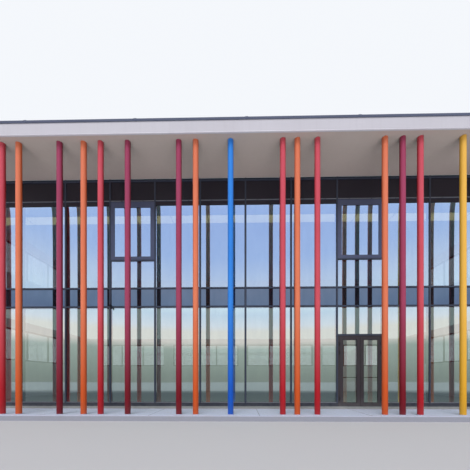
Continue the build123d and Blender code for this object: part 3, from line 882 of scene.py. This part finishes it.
# Outlets of the flat roof
outletLook = {"Radius": 0.09, "Height": 0.045, "Ribs": 20,
              "places": ((-7.2, 2.8), (-2.4, 2.8), (2.4, 2.8), (7.2, 2.8)),
              "material": "baseMetal", "slot": "base_metal"}
outletPoints = [(x, y, roofTop + outletLook["Height"] / 2) for x, y in outletLook["places"]]
growPoints("roofOutlets", outletPoints, outletTree, outletLook)
print("roof details made")


# Sealing rings at the foot and the head of every post
postBoxes = solidBoxes("red_posts", "orange_posts", "crimson_posts", "blue_posts", "yellow_posts")
postRadius = (postBoxes[0][1].x - postBoxes[0][0].x) / 2
sealThickness = 0.007
footLook = {"Radius": postRadius + sealThickness / 2, "Band": 0.012, "Thickness": sealThickness,
            "material": "terraceConcrete", "slot": "terrace_concrete"}
headLook = dict(footLook, Band=0.01, material="soffitRender", slot="soffit_render")
footPoints, headPoints = [], []
for low, high in postBoxes:
    x, y = (low.x + high.x) / 2, (low.y + high.y) / 2
    footPoints.append((x, y, low.z + footLook["Band"] / 2))
    headPoints.append((x, y, high.z - headLook["Band"] / 2))
growPoints("postFootSeals", footPoints, ringTree, footLook)
growPoints("postHeadSeals", headPoints, ringTree, headLook)

# Joints of the terrace, filled flush
jointLook = {"Width": 0.0012, "Thickness": 0.01, "spacing": 3.0, "count": 3, "shift": 0.35,
             "edge": 0.002, "material": "sealRubber", "slot": "seal_rubber"}
terraceLow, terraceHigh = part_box("terrace_slab")
jointPaths = []
for place in evenly(jointLook["count"], jointLook["spacing"]):
    x = place + jointLook["shift"]
    jointPaths.append(straightPath((x, terraceLow.y + jointLook["edge"], terraceHigh.z),
                                   (x, terraceHigh.y, terraceHigh.z), upward))
growPaths("terraceJoints", jointPaths, jointLook)

# Pale strips, thin trims that also serve as painted highlights: on the cap over the upper panes, and
# along the top of the base profile
paleHighlightLook = {"Width": 0.020, "Thickness": 0.003 * cornerWiden, "lowest": 6.8, "highest": 7.2,
            "beforeGlass": 0.006, "material": "paleHighlightMetal", "slot": "cap_metal"}
levelCaps = [(low, high) for low, high in capBoxes if high.x - low.x > high.z - low.z]
paleHighlightPaths = []
for low, high in levelCaps:
    if paleHighlightLook["lowest"] < low.z < paleHighlightLook["highest"]:
        y, z = low.y, (low.z + high.z) / 2
        paleHighlightPaths.append(straightPath((low.x, y, z), (high.x, y, z), upward))
for low, high in baseBoxes:
    y, z = glassFace - paleHighlightLook["beforeGlass"], high.z + paleHighlightLook["Width"] / 2
    paleHighlightPaths.append(straightPath((low.x, y, z), (high.x, y, z), upward))
growPaths("paleHighlightStrips", paleHighlightPaths, paleHighlightLook)

# Covers of the drain slots in the level caps
drainLook = {"Width": 0.032, "Height": 0.012, "Corner": 0.005, "Thickness": 0.004,
             "shares": (0.25, 0.75), "drop": 0.008,
             "material": "sealRubber", "slot": "seal_rubber"}
drainPoints = [(low.x + share * (high.x - low.x), low.y, (low.z + high.z) / 2 - drainLook["drop"])
               for low, high in levelCaps for share in drainLook["shares"]]
growPoints("drainCovers", drainPoints, plateTree, drainLook)
print("front details made:", len(drainPoints), "drain covers")


# Rear and end walls: a darker coat along the ground
plinthLook = {"Width": 0.3, "Thickness": 0.006 * cornerWiden, "proud": 0.001,
              "material": "plinthRender", "slot": "wall_render"}
groundLow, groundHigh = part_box("ground_slab")
plinthLeft, plinthRight = groundLow.x - plinthLook["proud"], groundHigh.x + plinthLook["proud"]
plinthRear = groundHigh.y + plinthLook["proud"]
plinthLine = ((plinthLeft, groundLow.y), (plinthLeft, plinthRear), (plinthRight, plinthRear),
              (plinthRight, groundLow.y))
plinthPath = [(x, y, plinthLook["Width"] / 2) for x, y in plinthLine]
growPaths("plinthCoat", [(plinthPath, False, upward)], plinthLook)

# Upright joints in the render of the rear wall, from the coat to the fascia
wallJointLook = {"Width": 0.002, "Thickness": 0.012, "placeDigits": 3,
                 "material": "sealRubber", "slot": "seal_rubber"}
pierBoxes = solidBoxes("back_wall_piers")
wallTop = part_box("back_fascia")[0].z
pierPlaces = sorted({round((low.x + high.x) / 2, wallJointLook["placeDigits"])
                     for low, high in pierBoxes})
wallJoints = [straightPath((x, groundHigh.y, plinthLook["Width"]), (x, groundHigh.y, wallTop),
                           rearward) for x in pierPlaces[1:-1]]
growPaths("wallJoints", wallJoints, wallJointLook)
print("wall details made")


# Door: lock plate, cylinder and key slot on the outer face of the right leaf
lockLook = {"Width": 0.034, "Height": 0.064, "Corner": 0.016, "Thickness": 0.006,
            "overFloor": 0.83, "inset": 0.035,
            "material": "pushBarSteel", "slot": "push_bar_steel"}
cylinderLook = dict(lockLook, Width=0.018, Height=0.018, Corner=0.009, Thickness=0.010)
slotLook = dict(lockLook, Width=0.002, Height=0.009, Corner=0.0008, Thickness=0.0104,
                material="sealRubber", slot="seal_rubber")
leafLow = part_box("right_door_leaf")[0]
lockPoint = (leafLow.x + lockLook["inset"], leafLow.y, floorLevel + lockLook["overFloor"])
for name, look in (("lockPlate", lockLook), ("lockCylinder", cylinderLook), ("keySlot", slotLook)):
    growPoints(name, [lockPoint], plateTree, look, "right_door")

# Small bent hook at the lower transom of the spandrel, beside a mullion
hookLook = {"Width": 0.06, "Thickness": 0.05, "Round": 0.018, "mullion": -4.5, "overFloor": 3.36,
            "bends": ((-0.005, 0.0, 0.0), (0.015, -0.04, -0.02), (0.05, -0.06, -0.07),
                      (0.08, -0.06, -0.14)),
            "material": "sealRubber", "slot": "dark_frame"}
hookPath = [(hookLook["mullion"] + x, capFace + y, floorLevel + hookLook["overFloor"] + z)
            for x, y, z in hookLook["bends"]]
growPaths("wallHook", [(hookPath, False, frontward)], hookLook)

# Flat light panels under the ceiling of the upper floor, one to a bay
panelLook = {"Width": 0.57, "Thickness": 0.03, "Round": 0.01, "behind": 2.315, "gap": 0.003,
             "material": "lightPanel", "slot": "sash_metal"}
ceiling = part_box("roof_slab")[0].z
y, z = glassFace + panelLook["behind"], ceiling - panelLook["Thickness"] / 2
panelPaths = [straightPath((low.x + panelLook["gap"], y, z), (high.x - panelLook["gap"], y, z),
                           rearward) for low, high in solidBoxes("front_upper_glass")]
growPaths("lightPanels", panelPaths, panelLook)
print("fittings made")


# Stage: pale level floor, soft sky, a soft lamp from the front and a low one under the roof
stageLook = {
    "floorSize": 160.0,
    "floorColour": srgb((196, 196, 200)),
    "floorRoughness": 0.9,
    # Colours of the floor that glossy surfaces see, by the distance along Y: a painted reflection,
    # dark near the building as painted shade
    "mirroredGround": ((17.0, (0.04, 0.05, 0.04, 1)), (24.0, (0.33, 0.37, 0.34, 1))),
    "skyColour": (1, 1, 1, 1),
    "skyLight": 0.6,
    "background": (0.91, 0.935, 0.975, 1),
    "lampStrength": 2.05,
    "lampTurn": (44, 0, -9),
    "lampSpread": 36,
    "bounceStrength": 0.95,
    "bounceTurn": (155, 0, 6),
    "bounceSpread": 30,
    # Sky that glossy surfaces see, by the sine of the height over the horizon; its colours are
    # set for the tones of the panes and differ from the background behind the building
    "mirroredSky": (
        (-0.05, (0.30, 0.31, 0.28, 1)), (0.0, (0.26, 0.29, 0.24, 1)), (0.10, (0.42, 0.48, 0.40, 1)),
        (0.125, (0.95, 0.83, 0.73, 1)), (0.160, (0.93, 0.81, 0.73, 1)),
        (0.178, (0.86, 0.84, 0.91, 1)), (0.215, (0.67, 0.76, 0.92, 1)),
        (0.235, (0.77, 0.87, 1, 1)), (0.29, (0.90, 0.92, 1, 1)), (0.34, (0.85, 0.84, 1, 1)),
        (0.40, (0.63, 0.69, 1, 1)), (0.55, (0.51, 0.57, 0.96, 1))),
    "mirrorRange": (-0.05, 0.65),
}


def addFloor(look):
    half = look["floorSize"] / 2
    corners = [(-half, -half, 0), (half, -half, 0), (half, half, 0), (-half, half, 0)]
    mesh = bpy.data.meshes.new("stageFloor")
    mesh.from_pydata(corners, [], [(0, 1, 2, 3)])
    floor = bpy.data.objects.new("stageFloor", mesh)
    scene.collection.objects.link(floor)
    material, tree, shader = startMaterial("stagePale")
    (near, nearColour), (far, farColour) = look["mirroredGround"]
    distance = mathNode(tree, "ABSOLUTE", splitAxes(tree, objectCoords(tree))["Y"])
    mirrored = mixColour(tree, ramp(tree, distance, near, far), nearColour, farColour)
    # Painted reflection: glossy rays see the floor dark near the building
    glossy = tree.nodes.new("ShaderNodeLightPath").outputs["Is Glossy Ray"]
    tone = mixColour(tree, glossy, look["floorColour"], mirrored)
    feed(tree, tone, shader.inputs["Base Color"])
    shader.inputs["Roughness"].default_value = look["floorRoughness"]
    mesh.materials.append(material)
    return floor


def addSky(look):
    # Glossy rays see the mirrored sky, rays to the camera the background, all others plain light
    world = bpy.data.worlds.new("softSky")
    world.use_nodes = True
    scene.world = world
    tree = world.node_tree
    tree.nodes.clear()
    axes = splitAxes(tree, tree.nodes.new("ShaderNodeTexCoord").outputs["Generated"])
    low, high = look["mirrorRange"]
    colours = tree.nodes.new("ShaderNodeValToRGB")
    feed(tree, ramp(tree, axes["Z"], low, high), colours.inputs[0])
    stops = colours.color_ramp.elements
    for place, (height, colour) in enumerate(look["mirroredSky"]):
        position = (height - low) / (high - low)
        # A new colour ramp has two stops
        stop = stops[place] if place < 2 else stops.new(position)
        stop.position = position
        stop.color = colour
    path = tree.nodes.new("ShaderNodeLightPath").outputs
    light = step(tree, "ShaderNodeBackground",
                 {"Color": look["skyColour"], "Strength": look["skyLight"]})
    mirrored = step(tree, "ShaderNodeBackground", {"Color": colours.outputs[0]})
    seen = step(tree, "ShaderNodeBackground", {"Color": look["background"]})
    indirect = mixShader(tree, path["Is Glossy Ray"], light, mirrored)
    direct = mathNode(tree, "MAXIMUM", path["Is Camera Ray"], path["Is Transmission Ray"])
    step(tree, "ShaderNodeOutputWorld", {"Surface": mixShader(tree, direct, indirect, seen)})


def addLamps(look, floor):
    # The second lamp stands for light thrown up by the ground, so the floor doesn't block it
    throughFloor = bpy.data.collections.new("throughFloor")
    throughFloor.objects.link(floor)
    throughFloor.collection_objects[0].light_linking.link_state = "EXCLUDE"
    for kind in ("lamp", "bounce"):
        data = bpy.data.lights.new(kind, "SUN")
        data.energy = look[kind + "Strength"]
        data.angle = math.radians(look[kind + "Spread"])
        lamp = bpy.data.objects.new(kind, data)
        lamp.rotation_euler = [math.radians(value) for value in look[kind + "Turn"]]
        lamp.visible_glossy = False
        lamp.visible_transmission = False
        if kind == "bounce":
            lamp.light_linking.blocker_collection = throughFloor
        scene.collection.objects.link(lamp)


stageFloor = addFloor(stageLook)
addSky(stageLook)
addLamps(stageLook, stageFloor)
scene.view_settings.view_transform = "Standard"
print("stage set")
